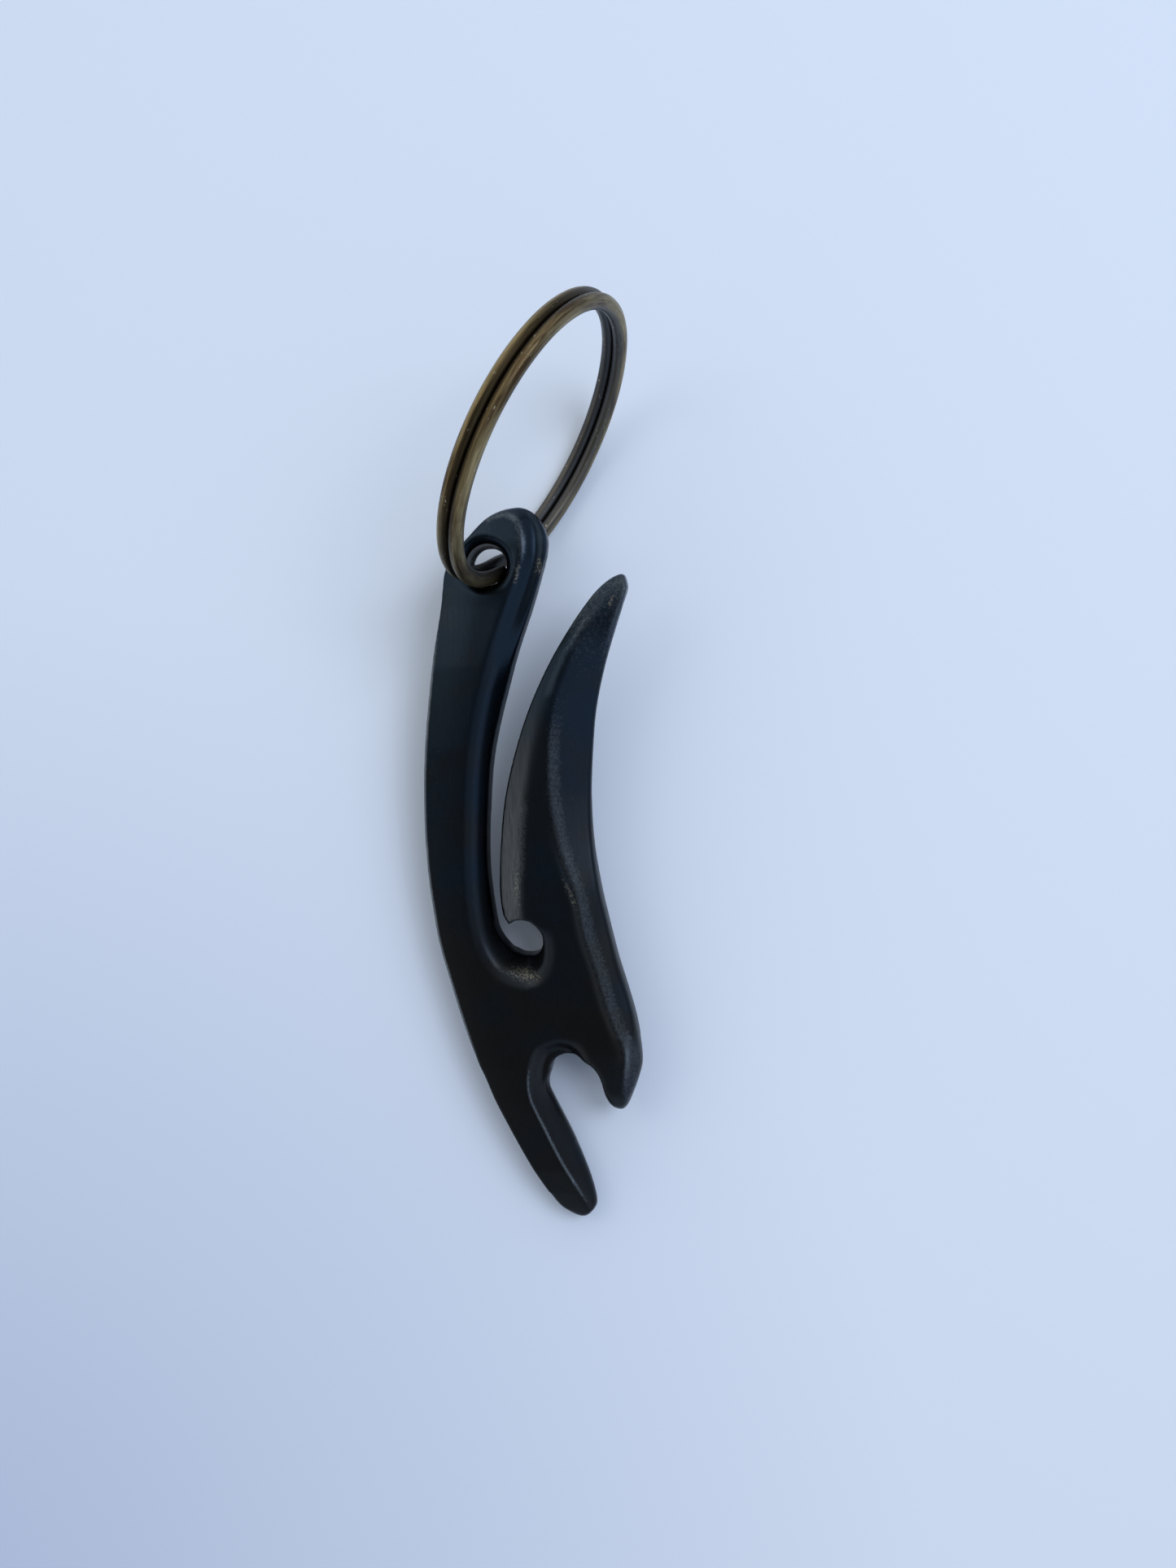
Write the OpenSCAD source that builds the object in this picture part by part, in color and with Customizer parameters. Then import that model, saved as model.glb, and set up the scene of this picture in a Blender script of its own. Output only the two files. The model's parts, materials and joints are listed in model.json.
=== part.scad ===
// Keychain bottle opener: one cast body of blackened brass with a split ring through its eye.
// Millimetres. It lies as on a table: +Z is up, and +Y runs from the long prong to the ring.
// The body is drawn flat, with the eye's bore at [0, 0] and its back at z = 0, then tilted to rest.

/* [Body] */
// Length of the cast body, from the top of the eye to the tip of the long prong
body_len = 78.9; // [72:0.1:90]
// Width of the cast body, from the belly of the limb to the shoulder of the hook
body_w = 24; // [22.5:0.1:27]
// Thickness of the middle of the body
body_t = 5; // [4:0.1:6.5]
// Thickness of the eye at the end of the limb
eye_t = 4; // [3.4:0.1:4.4]
// Thickness of the pointed ends of the horn, the hook and the long prong
tip_t = 2.6; // [1.8:0.1:3.4]
// How far the edges of the back are rounded in from the outline
back_round = 0.8; // [0.4:0.05:1.1]

/* [Relief] */
// Depth of the cove along the slot and of the bevel along the long prong
cove_drop = 1.7; // [0.8:0.1:2.2]
// Depth of the bevel on the slot side of the horn
bevel_drop = 1.3; // [0.6:0.1:2]
// Rise of the ridge of the horn above the plate beside it
ridge_rise = 0.5; // [0.2:0.05:0.9]
// Depth of the bevel on the outer side of the horn and the hook
flank_drop = 2.2; // [1:0.1:2.6]
// Depth of the hollow rim of the bottle mouth
rim_drop = 1; // [0.4:0.1:1.6]
// Width of the hollow rim of the bottle mouth
rim_w = 1.5; // [0.8:0.1:2]

/* [Holes] */
// Diameter of the eye's bore at its narrowest, where the split ring passes
eye_bore = 5.2; // [5:0.1:5.8]
// How far the rims of the eye's bore are rounded
eye_round = 0.45; // [0.2:0.05:0.6]
// Diameter of the round hole at the closed end of the slot
slot_bore = 4.4; // [3.6:0.1:5.2]
// Diameter of the round top of the bottle mouth
mouth_bore = 4.3; // [3.6:0.1:5]

/* [Split ring] */
// Outer diameter of the split ring
ring_od = 32; // [30:0.5:34]
// Thickness of the wire across the ring, from inside to outside
wire_t = 1.6; // [1.2:0.05:1.7]
// Width of the wire along the axis of the ring
wire_w = 1.3; // [1:0.05:1.35]
// Gap between the two turns of the wire
coil_gap = 0.08; // [0.05:0.01:0.2]
// Stretch of the ring over which the wire steps from one turn to the next, in degrees
step_arc = 22; // [16:1:36]
// Gap between an end of the wire and the step beside it, in degrees
end_gap = 2; // [1.5:0.5:5]
// Place of the wire's first end, next to the step, in degrees round the ring from its top
step_at = 152; // [0:1:359]

/* [Rest] */
// Tilt of the body, which lies on the edge of its long prong with the eye raised
body_tilt = 11; // [10.5:0.5:13]
// Direction of the edge that the body lies on, in degrees from +X
edge_dir = -58; // [-60:1:-52]
// Direction that the split ring's face looks to, in degrees from +X
ring_dir = -30.4; // [-36:0.2:-24]
// How far the split ring leans back from upright, in degrees
ring_lean = 11.9; // [9:0.1:14]

/* [Hidden] */

// Place of the eye's bore over the frame's origin, which is under the middle of the whole part
eye_x = -4.6;
eye_y = 23.5;
// How far the wire passes beside the middle of the eye's bore
pass_x = 0.4;
pass_y = -0.6;

// The outline's points are drawn at these overall sizes, with the head above neck_y kept as it is
drawn_len = 78.9;
drawn_w = 24;
neck_y = -8;
head_top = 6.2;

// Each station of the limb and the long prong holds its outer point, its slot-side point,
// the width of its cove or bevel, and its height
limb = [
    [[2.9, 6.2], [3.6, 6.2], 0.3, 0.75 * eye_t],
    [[1.7, 6.0], [4.6, 5.8], 1.2, 0.9 * eye_t],
    [[-0.1, 5.1], [5.7, 4.8], 2.0, eye_t],
    [[-2.0, 3.2], [6.5, 3.2], 2.4, eye_t],
    [[-3.5, 1.7], [6.6, 1.6], 2.6, eye_t],
    [[-4.7, -0.3], [6.2, -0.3], 2.6, eye_t],
    [[-5.2, -4.6], [4.9, -4.6], 2.9, 0.7 * eye_t + 0.3 * body_t],
    [[-6.2, -10.8], [2.7, -10.9], 3.3, 0.4 * eye_t + 0.6 * body_t],
    [[-7.1, -19.7], [0.5, -19.6], 2.9, body_t],
    [[-7.3, -27], [-0.2, -27], 2.7, body_t],
    [[-7.0, -33.5], [-0.3, -33], 2.7, body_t],
    [[-6.3, -38.8], [0.3, -38.4], 3.0, body_t],
    [[-6.0, -40.6], [0.9, -40.4], 3.6, body_t],
    [[-5.7, -41.9], [2.2, -42], 3.6, body_t],
    [[-5.5, -42.7], [3.7, -42.5], 3.6, body_t],
    [[-4.7, -45.4], [4.9, -45.5], 3.4, body_t],
    [[-3.7, -48.8], [6.2, -49], 3.2, body_t],
    [[-2.7, -51.8], [7.5, -51.8], 3.0, body_t],
    [[-2.0, -53.6], [8.6, -53.9], 2.6, body_t],
    [[-1.5, -54.9], [6.9, -55], 2.3, body_t],
    [[-0.8, -56.4], [6.1, -57], 2.1, body_t],
    [[0.2, -58.9], [6.9, -59.1], 2.5, 0.95 * body_t],
    [[2.2, -62.9], [8.8, -62.9], 2.5, 0.9 * body_t],
    [[4.2, -66.7], [10.4, -66.6], 2.2, 0.8 * body_t],
    [[5.9, -69.5], [11.3, -69.3], 1.9, 0.5 * body_t + 0.3 * tip_t],
    [[7.2, -71.4], [11.5, -71.1], 1.4, 1.1 * tip_t],
    [[9.0, -72.6], [10.2, -72.7], 0.4, 0.8 * tip_t],
];

// Each station of the horn and the hook holds its slot-side point, its outer point,
// the width of its slot-side bevel, the place of its ridge, and its height at the ridge
horn = [
    [[14.4, -1.0], [14.8, -1.1], 0.15, 14.6, 0.8 * tip_t],
    [[13.2, -1.6], [15.2, -2.2], 0.5, 14.0, 1.2 * tip_t],
    [[11.6, -3.1], [15.1, -3.2], 0.7, 13.1, 1.4 * tip_t],
    [[9.4, -6.2], [14.2, -5.9], 0.8, 11.2, 0.9 * body_t],
    [[6.8, -10.6], [12.8, -10.6], 1.3, 8.9, body_t],
    [[4.6, -15.3], [11.8, -15.3], 1.7, 7.6, body_t + ridge_rise],
    [[3.0, -19.8], [11.4, -19.8], 2.3, 7.1, body_t + ridge_rise],
    [[1.7, -25.0], [11.2, -24.9], 2.7, 7.2, body_t + ridge_rise],
    [[1.1, -30.4], [11.5, -30.2], 2.7, 8.1, body_t + ridge_rise],
    [[0.9, -35.0], [12.3, -35.0], 2.8, 9.5, body_t + ridge_rise],
    [[1.1, -37.6], [12.9, -37.6], 2.6, 10.2, body_t + ridge_rise],
    [[1.8, -38.9], [13.2, -38.9], 2.0, 10.5, body_t + ridge_rise],
    [[3.7, -42.5], [14.1, -42.5], 1.4, 11.6, body_t + ridge_rise],
    [[4.9, -45.5], [15.0, -45.4], 1.4, 12.5, body_t + ridge_rise],
    [[6.2, -49.0], [16.0, -48.9], 1.4, 13.6, body_t + ridge_rise],
    [[7.5, -51.8], [16.5, -51.7], 1.4, 14.6, body_t + 0.6 * ridge_rise],
    [[8.6, -53.9], [16.7, -53.6], 1.2, 14.9, body_t],
    [[10.9, -54.4], [16.7, -54.3], 0.8, 15.0, 0.98 * body_t],
    [[12.0, -55.8], [16.4, -55.5], 0.8, 14.9, 0.94 * body_t],
    [[12.5, -57.8], [15.8, -57.3], 0.7, 14.7, 0.86 * body_t],
    [[13.0, -59.2], [15.2, -58.9], 0.5, 14.4, 1.3 * tip_t],
    [[13.9, -60.0], [14.6, -59.9], 0.15, 14.3, 0.9 * tip_t],
];

// Stations between which the limb and the horn are joined, counted from 0
limb_join = [14, 18];
horn_join = [12, 16];
// Rows of the mesh from one station to the next
row_steps = 4;

// A drawn point at the sizes in use
function at(p) = [
    p.x * body_w / drawn_w,
    p.y > neck_y ? p.y
        : neck_y + (p.y - neck_y) * (body_len - head_top + neck_y) / (drawn_len - head_top + neck_y)
];
slot_end = at([3.7, -40.6]);
mouth_top = at([8.6, -55.5]);

// A soft step from 0 to 1, and a value t of the way from a to b
function smooth(s) = let (c = min(max(s, 0), 1)) c * c * (3 - 2 * c);
function mix(a, b, t) = a + (b - a) * t;

// Slope at station i of the values v; at a join the seam side takes the slope of one side only
function slope(v, i, ahead, cut) =
    let (last = len(v) - 1, from = (i == 0 || (cut && ahead)) ? i : i - 1,
         to = (i == last || (cut && !ahead)) ? i : i + 1)
    (v[to] - v[from]) / (to - from);

// Values of v at t of the way from station i to the next, as a smooth curve through all of them
function between(v, i, t, joins, seam) =
    let (a = slope(v, i, true, seam && len(search(i, joins)) > 0),
         b = slope(v, i + 1, false, seam && len(search(i + 1, joins)) > 0))
    v[i] * (2 * t * t * t - 3 * t * t + 1) + a * (t * t * t - 2 * t * t + t)
        + v[i + 1] * (3 * t * t - 2 * t * t * t) + b * (t * t * t - t * t);

// All rows of a strip; column number seam is the side that meets the other strip
function rows(stations, joins, seam) =
    let (last = len(stations) - 1,
         placed = [for (s = stations) [at(s[0]), at(s[1]), for (k = [2 : len(s) - 1]) s[k]]])
    [for (i = [0 : last], k = [0 : i == last ? 0 : row_steps - 1])
        [for (c = [0 : len(placed[0]) - 1])
            let (v = [for (s = placed) s[c]])
            i == last ? v[i] : between(v, i, k / row_steps, joins, c == seam)]];

limb_rows = rows(limb, limb_join, 1);
horn_rows = rows(horn, horn_join, 0);
limb_seam = limb_join * row_steps;
horn_seam = horn_join * row_steps;

// Drop of the plate round the slot's hole, where the cove narrows from dish_wide to dish_narrow,
// and round the mouth, where the rim fades towards the hook
dish_wide = 3.9;
dish_narrow = 1.5;
rim_end = 12;
rim_fade = 2;
function dish(p) =
    let (v = p - slot_end, far = norm(v), turn = far > 0 ? v.x / far : 0,
         cove = mix(dish_wide, dish_narrow, (1 + turn) / 2))
    cove_drop * (1 - smooth((far - slot_bore / 2) / cove));
function rim(p) =
    let (far = norm(p - mouth_top))
    rim_drop * (1 - smooth((far - mouth_bore / 2) / rim_w)) * smooth((rim_end - p.x) / rim_fade);

// Share of a side's own relief that is left n rows from where the strips join
function beside(n, joins, rows_out) = n <= joins[0] ? smooth((joins[0] - n) / rows_out)
    : n >= joins[1] ? smooth((n - joins[1]) / rows_out) : 0;

// One row of the limb: the columns of its top from the outer edge to the slot side. The cove ends in
// a level bead beside the eye, which turns into a plain slope between the stations of bead_end.
cove_cols = [1, 0.8, 0.6, 0.4, 0.2, 0.04];
bead_end = [6, 9];
function limb_top(r, n) =
    let (a = r[0], b = r[1], wide = norm(b - a), high = r[3],
         edge = min(0.9, 0.22 * wide), cove = min(r[2], wide - edge - 0.02),
         seamed = n > limb_seam[0] && n < limb_seam[1],
         side = cove_drop * min(1, wide / 6) * beside(n, limb_seam, 2 * row_steps),
         sloped = smooth((n / row_steps - bead_end[0]) / (bead_end[1] - bead_end[0])))
    [
        [mix(a, b, 0.25 * edge / wide), high - min(0.9, 0.3 * high)],
        [mix(a, b, edge / wide), high - 0.15],
        for (k = [1, 2]) let (p = mix(a, b, (edge + (wide - edge - cove) * k / 3) / wide))
            [p, high - max(dish(p), rim(p))],
        for (s = cove_cols)
            let (p = mix(a, b, seamed && s < 0.1 ? 1 : 1 - s * cove / wide),
                 fall = n > limb_seam[1] ? 1 - s : mix(1 - smooth(s), pow(1 - s, 1.3), sloped))
            [p, high - max(side * fall, dish(p), rim(p))]
    ];

// One row of the horn: the columns of its top from the slot side to the outer edge
function horn_top(r, n) =
    let (a = r[0], b = r[1], wide = norm(b - a), high = r[4],
         ridge = min(max((r[3] * body_w / drawn_w - a.x) / (b.x - a.x), 0.3), 0.85),
         bevel = min(r[2] / wide, ridge - 0.06), foot = max(bevel + 0.03, ridge - 0.6 / wide),
         fit = min(1, wide / 8), above = smooth((high - body_t) / ridge_rise),
         side = bevel_drop * fit * beside(n, horn_seam, row_steps) * (n > horn_seam[1] ? 0.3 : 1),
         start = n > horn_seam[0] && n < horn_seam[1] ? 0 : 0.01, plate = min(high, body_t),
         cols = [[start, side], [0.35 * bevel, 0.72 * side], [0.7 * bevel, 0.38 * side],
                 [bevel, 0.12 * above], [mix(bevel, foot, 0.5), 0.2 * above], [foot, 0.1 * above]])
    [
        for (c = cols) let (p = mix(a, b, c[0])) [p, plate - max(c[1], dish(p), rim(p))],
        [mix(a, b, ridge), high],
        [mix(a, b, mix(ridge, 1, 0.5)), high - 0.32 * flank_drop * fit],
        [mix(a, b, mix(ridge, 1, 0.8)), high - 0.62 * flank_drop * fit],
        [mix(a, b, 0.985), high - flank_drop * fit]
    ];

// The back of one row, rounded in at each side that isn't on the seam
back_cols = [0, 0.33, 0.67, 1];
function back(r, near_side, far_side) =
    let (a = r[0], b = r[1], wide = norm(b - a), in = min(back_round, 0.3 * wide) / wide)
    [for (s = back_cols) mix(a, b, mix(near_side ? in : 0, far_side ? 1 - in : 1, s))];

limb_tops = [for (n = [0 : len(limb_rows) - 1]) limb_top(limb_rows[n], n)];
horn_tops = [for (n = [0 : len(horn_rows) - 1]) horn_top(horn_rows[n], n)];
limb_backs = [for (n = [0 : len(limb_rows) - 1])
    back(limb_rows[n], true, n < limb_seam[0] || n > limb_seam[1])];
horn_backs = [for (n = [0 : len(horn_rows) - 1])
    back(horn_rows[n], n < horn_seam[0] || n > horn_seam[1], true)];

// The closed loop of points round one row: its top, its far side, its back and its near side.
// A side is widest a little under the middle of its height.
function belly(side_z) = 0.42 * side_z + 0.3;
function loop(r, top, base) = let (last = len(top) - 1) concat(
    [for (t = top) [t[0].x, t[0].y, max(t[1], back_round)]],
    [[r[1].x, r[1].y, belly(top[last][1])]],
    [for (k = [len(base) - 1 : -1 : 0]) [base[k].x, base[k].y, 0]],
    [[r[0].x, r[0].y, belly(top[0][1])]]);
limb_loops = [for (n = [0 : len(limb_rows) - 1]) loop(limb_rows[n], limb_tops[n], limb_backs[n])];
horn_loops = [for (n = [0 : len(horn_rows) - 1]) loop(horn_rows[n], horn_tops[n], horn_backs[n])];

// Faces of the body. A strip's loop has top columns 0 to tops - 1, its far side, its back and its
// near side. Between the joins the horn's seam points are the limb's own.
limb_n = len(limb_loops[0]);
horn_n = len(horn_loops[0]);
limb_tops_n = len(limb_tops[0]);
horn_base = len(limb_loops) * limb_n;
function limb_id(row, c) = row * limb_n + c;
function horn_id(row, c) =
    let (own = horn_base + row * horn_n + c, on_seam = row >= horn_seam[0] && row <= horn_seam[1],
         twin = row - horn_seam[0] + limb_seam[0])
    !on_seam ? own
    : c == 0 ? limb_id(twin, limb_tops_n - 1)
    : c == horn_n - 1 ? limb_id(twin, limb_tops_n)
    : c == horn_n - 2 ? limb_id(twin, limb_tops_n + 1)
    : own;
function quad(a, b, c, d) = [[a, b, c], [a, c, d]];
limb_faces = [for (n = [0 : len(limb_loops) - 2], c = [0 : limb_n - 1])
    let (seamed = n >= limb_seam[0] && n < limb_seam[1], d = (c + 1) % limb_n)
    if (!(seamed && (c == limb_tops_n - 1 || c == limb_tops_n)))
        each quad(limb_id(n, c), limb_id(n, d), limb_id(n + 1, d), limb_id(n + 1, c))];
horn_faces = [for (n = [0 : len(horn_loops) - 2], c = [0 : horn_n - 1])
    let (seamed = n >= horn_seam[0] && n < horn_seam[1], d = (c + 1) % horn_n)
    if (!(seamed && (c == horn_n - 1 || c == horn_n - 2)))
        each quad(horn_id(n, c), horn_id(n, d), horn_id(n + 1, d), horn_id(n + 1, c))];
end_faces = [
    [for (c = [limb_n - 1 : -1 : 0]) limb_id(0, c)],
    [for (c = [0 : limb_n - 1]) limb_id(len(limb_loops) - 1, c)],
    [for (c = [horn_n - 1 : -1 : 0]) horn_id(0, c)],
    [for (c = [0 : horn_n - 1]) horn_id(len(horn_loops) - 1, c)],
];

module blank() {
    polyhedron(points = concat([for (l = limb_loops) each l], [for (l = horn_loops) each l]),
        faces = concat(limb_faces, horn_faces, end_faces), convexity = 8);
}

// A round hole through the flat body
module drill(d) {
    translate([0, 0, -1]) cylinder(d = d, h = 2 * body_t + 2, $fn = 64);
}

// The bore of the eye: straight in the middle, with rounded rims at the front and the back
module eye_hole() {
    r = eye_bore / 2;
    turns = [0 : 18 : 90];
    rotate_extrude($fn = 72) polygon([
        [0, -1], [r + eye_round, -1],
        for (a = turns) [r + eye_round * (1 - sin(a)), eye_round * (1 - cos(a))],
        for (a = turns) [r + eye_round * (1 - cos(a)), eye_t - eye_round * (1 - sin(a))],
        [r + eye_round, eye_t + 1], [0, eye_t + 1]]);
}

module flat_body() {
    difference() {
        blank();
        eye_hole();
        translate([slot_end.x, slot_end.y, 0]) drill(slot_bore);
        translate([mouth_top.x, mouth_top.y, 0]) drill(mouth_bore);
    }
}

// Where things rest. The body turns about the edge of its long prong until that edge lies on the
// table, and the split ring stands on the table and passes through the eye.
edge_axis = [cos(edge_dir), sin(edge_dir), 0];
// The direction that turning by body_tilt about the edge gives to v
function tilted(v) = v * cos(body_tilt) + cross(edge_axis, v) * sin(body_tilt)
    + edge_axis * (edge_axis * v) * (1 - cos(body_tilt));
lowest = min([for (b = concat(limb_backs, horn_backs), p = b) tilted([p.x, p.y, 0]).z]);
// Place of the eye's bore at the back of the body
eye_at = [eye_x, eye_y, -lowest];
eye_mid = eye_at + tilted([0, 0, eye_t / 2]);

wire_r = ring_od / 2 - wire_t / 2;
pitch = wire_w + coil_gap;
ring_h = [sin(ring_dir), -cos(ring_dir), 0];
ring_n = [cos(ring_dir) * cos(ring_lean), sin(ring_dir) * cos(ring_lean), sin(ring_lean)];
ring_up = cross(ring_n, ring_h);
ring_z = ring_od / 2 * cos(ring_lean) + (pitch + wire_w) / 2 * sin(ring_lean);
// Angle round the ring, from level to up, at which it passes through the eye
pass_turn = asin((eye_mid.z - ring_z) / (wire_r * ring_up.z));
pass_at = eye_mid + [pass_x, pass_y, 0];
ring_at = pass_at - wire_r * (cos(pass_turn) * ring_h + sin(pass_turn) * ring_up);

// Section of the wire, across the ring and along its axis: a rectangle with rounded corners
corner = 0.4 * wire_w;
wire_section = [for (c = [[1, 1], [-1, 1], [-1, -1], [1, -1]], a = [0 : 45 : 90])
    let (turn = a + (c == [1, 1] ? 0 : c == [-1, 1] ? 90 : c == [-1, -1] ? 180 : 270))
    [c.x * (wire_t / 2 - corner) + corner * cos(turn), c.y * (wire_w / 2 - corner) + corner * sin(turn)]];
// The wire's two turns start at the step, and each stops short of it
wire_arc = 720 - step_arc - end_gap * 2;
sections = 96;
function wire_shift(a) = pitch * (smooth((a - 360 + step_arc + end_gap) / step_arc) - 0.5);
wire_points = [for (n = [0 : sections]) let (a = n / sections * wire_arc, turn = a + step_at - 90)
    for (p = wire_section) [(wire_r + p.x) * cos(turn), (wire_r + p.x) * sin(turn), p.y + wire_shift(a)]];
sides = len(wire_section);
wire_faces = [for (n = [0 : sections - 1], k = [0 : sides - 1]) let (m = (k + 1) % sides)
    each quad(n * sides + k, n * sides + m, (n + 1) * sides + m, (n + 1) * sides + k)];

module wire() {
    polyhedron(points = wire_points, convexity = 6, faces = concat(wire_faces,
        [[for (k = [sides - 1 : -1 : 0]) k], [for (k = [0 : sides - 1]) sections * sides + k]]));
}

module opener_body() {
    color("#1a212b") translate(eye_at) rotate(a = body_tilt, v = edge_axis) flat_body();
}

module split_ring() {
    color("#6b5a3a") multmatrix([for (k = [0 : 2]) [ring_h[k], ring_up[k], ring_n[k], ring_at[k]]]) wire();
}

opener_body();
split_ring();
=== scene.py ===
import json
import math

import bmesh
import bpy
import numpy as np
from mathutils import Matrix, Vector
from mathutils.bvhtree import BVHTree
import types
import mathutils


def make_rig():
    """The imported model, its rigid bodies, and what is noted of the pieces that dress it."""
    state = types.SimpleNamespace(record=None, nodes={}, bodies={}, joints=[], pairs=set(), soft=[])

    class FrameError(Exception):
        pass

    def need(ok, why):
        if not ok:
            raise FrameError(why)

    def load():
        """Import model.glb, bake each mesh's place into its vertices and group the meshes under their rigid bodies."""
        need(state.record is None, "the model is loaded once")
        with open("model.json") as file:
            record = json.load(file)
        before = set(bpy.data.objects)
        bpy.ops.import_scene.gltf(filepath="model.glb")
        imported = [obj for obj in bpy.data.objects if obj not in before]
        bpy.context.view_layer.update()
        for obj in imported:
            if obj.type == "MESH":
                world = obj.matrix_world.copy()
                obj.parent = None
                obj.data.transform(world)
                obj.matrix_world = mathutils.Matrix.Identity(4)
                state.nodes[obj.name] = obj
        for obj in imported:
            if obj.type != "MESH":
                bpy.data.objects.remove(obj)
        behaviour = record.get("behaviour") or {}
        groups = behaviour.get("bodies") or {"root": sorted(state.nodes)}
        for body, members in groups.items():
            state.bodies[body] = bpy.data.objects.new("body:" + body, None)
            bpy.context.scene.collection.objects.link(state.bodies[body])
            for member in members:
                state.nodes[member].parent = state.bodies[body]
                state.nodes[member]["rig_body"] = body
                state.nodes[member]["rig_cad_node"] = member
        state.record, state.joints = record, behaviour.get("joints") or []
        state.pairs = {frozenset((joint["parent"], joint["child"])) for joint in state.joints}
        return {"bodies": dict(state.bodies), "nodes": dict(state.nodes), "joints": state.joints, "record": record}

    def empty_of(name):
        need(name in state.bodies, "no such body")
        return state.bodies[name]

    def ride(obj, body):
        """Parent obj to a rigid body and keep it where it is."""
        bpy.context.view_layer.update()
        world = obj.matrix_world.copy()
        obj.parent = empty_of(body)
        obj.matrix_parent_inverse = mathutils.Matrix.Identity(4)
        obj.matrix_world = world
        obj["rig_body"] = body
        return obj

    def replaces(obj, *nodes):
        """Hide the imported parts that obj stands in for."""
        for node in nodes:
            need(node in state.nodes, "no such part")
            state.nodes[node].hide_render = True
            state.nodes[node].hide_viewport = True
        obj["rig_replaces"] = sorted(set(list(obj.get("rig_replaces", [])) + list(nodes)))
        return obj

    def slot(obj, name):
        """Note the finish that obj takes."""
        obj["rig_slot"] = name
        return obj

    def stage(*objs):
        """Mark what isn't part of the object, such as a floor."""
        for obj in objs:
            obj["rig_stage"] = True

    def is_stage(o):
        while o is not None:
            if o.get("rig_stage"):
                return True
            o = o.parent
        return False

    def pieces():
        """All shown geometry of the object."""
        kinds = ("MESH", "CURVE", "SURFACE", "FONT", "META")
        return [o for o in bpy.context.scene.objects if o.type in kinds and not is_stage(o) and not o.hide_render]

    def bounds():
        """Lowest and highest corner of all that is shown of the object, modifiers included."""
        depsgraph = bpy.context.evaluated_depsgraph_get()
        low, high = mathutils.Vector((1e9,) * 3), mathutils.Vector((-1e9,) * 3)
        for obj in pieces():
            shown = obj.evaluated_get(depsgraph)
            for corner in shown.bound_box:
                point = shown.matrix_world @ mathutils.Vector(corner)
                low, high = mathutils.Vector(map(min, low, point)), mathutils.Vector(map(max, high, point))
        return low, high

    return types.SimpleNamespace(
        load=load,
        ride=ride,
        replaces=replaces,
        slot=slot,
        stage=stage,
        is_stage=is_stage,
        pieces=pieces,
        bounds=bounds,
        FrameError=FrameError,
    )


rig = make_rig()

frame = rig.load()
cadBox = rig.bounds()
scene = bpy.context.scene
mm = 0.001
print("frame loaded")

# The body is drawn flat in the CAD with the eye's bore at its origin. This puts a flat place into the frame.
swing = frame["joints"][0]
boreAxis = Vector(swing["axis"]).normalized()
eyeThickness = 4.0
bodyPlace = (Matrix.Translation(Vector(swing["pos_m"]) - boreAxis * eyeThickness / 2 * mm)
             @ Vector((0, 0, 1)).rotation_difference(boreAxis).to_matrix().to_4x4())

# The camera looks straight down at the table
photoCamera = {
    "aimX": 5.83,       # mm, the place on the table under the camera
    "aimY": -0.33,
    "height": 153.4,    # mm above the table
    "lens": 30.825,     # mm, with a sensor 36 mm on its long side
    "sensor": 36.0,
}


def makeCamera(look):
    data = bpy.data.cameras.new("photoCamera")
    data.sensor_fit = "AUTO"
    data.sensor_width = look["sensor"]
    data.lens = look["lens"]
    data.clip_start, data.clip_end = 0.01, 10
    camera = bpy.data.objects.new("photoCamera", data)
    camera.location = (look["aimX"] * mm, look["aimY"] * mm, look["height"] * mm)
    scene.collection.objects.link(camera)
    scene.camera = camera
    return camera


camera = makeCamera(photoCamera)
bpy.context.view_layer.update()
print("camera placed")

# Points read off the photograph, in its frame at 1176 by 1568: edges of the object and its features
imageSize = (1176, 1568)
imagePoints = {
    "objectLeft": (423, None),
    "objectRight": (642, None),
    "objectTop": (None, 286),
    "objectBottom": (None, 1216),
    "eyeTop": (521, 507),
    "hornTip": (622, 574),
    "slotHole": (523, 938),
    "mouthTop": (567, 1053),
    "hookTip": (620, 1111),
    "prongTip": (583, 1216),
    "eyeScratch": (540, 568),
    "eyeNick": (517, 572),
    "slotPatch": (525, 973),
    "crestScuff": (571, 896),
    "heelShine": (517, 886),
    "tipShine": (610, 602),
}


def imageRay(x, y):
    # the ray that the camera sends through an image point
    w, h = imageSize
    longSide = max(w, h)
    data = camera.data
    out = Vector((x - w / 2 + data.shift_x * longSide, h / 2 - y + data.shift_y * longSide,
                  -longSide * data.lens / data.sensor_width))
    return camera.matrix_world.translation, (camera.matrix_world.to_3x3() @ out).normalized()


def toImage(places):
    # image x and y of an array of places
    w, h = imageSize
    longSide = max(w, h)
    data = camera.data
    back = np.array(camera.matrix_world.inverted())
    p = places @ back[:3, :3].T + back[:3, 3]
    k = longSide * data.lens / data.sensor_width / -p[:, 2]
    return np.stack([p[:, 0] * k + w / 2 - data.shift_x * longSide,
                     h / 2 - p[:, 1] * k + data.shift_y * longSide], 1)


def onSurface(tree, x, y):
    # where the ray meets the surface; a miss takes the nearest place to the ray
    start, way = imageRay(x, y)
    hit = tree.ray_cast(start, way)[0]
    if hit is None:
        hit = tree.find_nearest(start + way * (photoCamera["height"] - 5) * mm)[0]   # 5 mm over the table
    return hit


def hexColour(text):
    parts = [int(text[i:i + 2], 16) / 255 for i in (1, 3, 5)]
    return [p / 12.92 if p <= 0.04045 else ((p + 0.055) / 1.055) ** 2.4 for p in parts] + [1.0]


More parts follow.
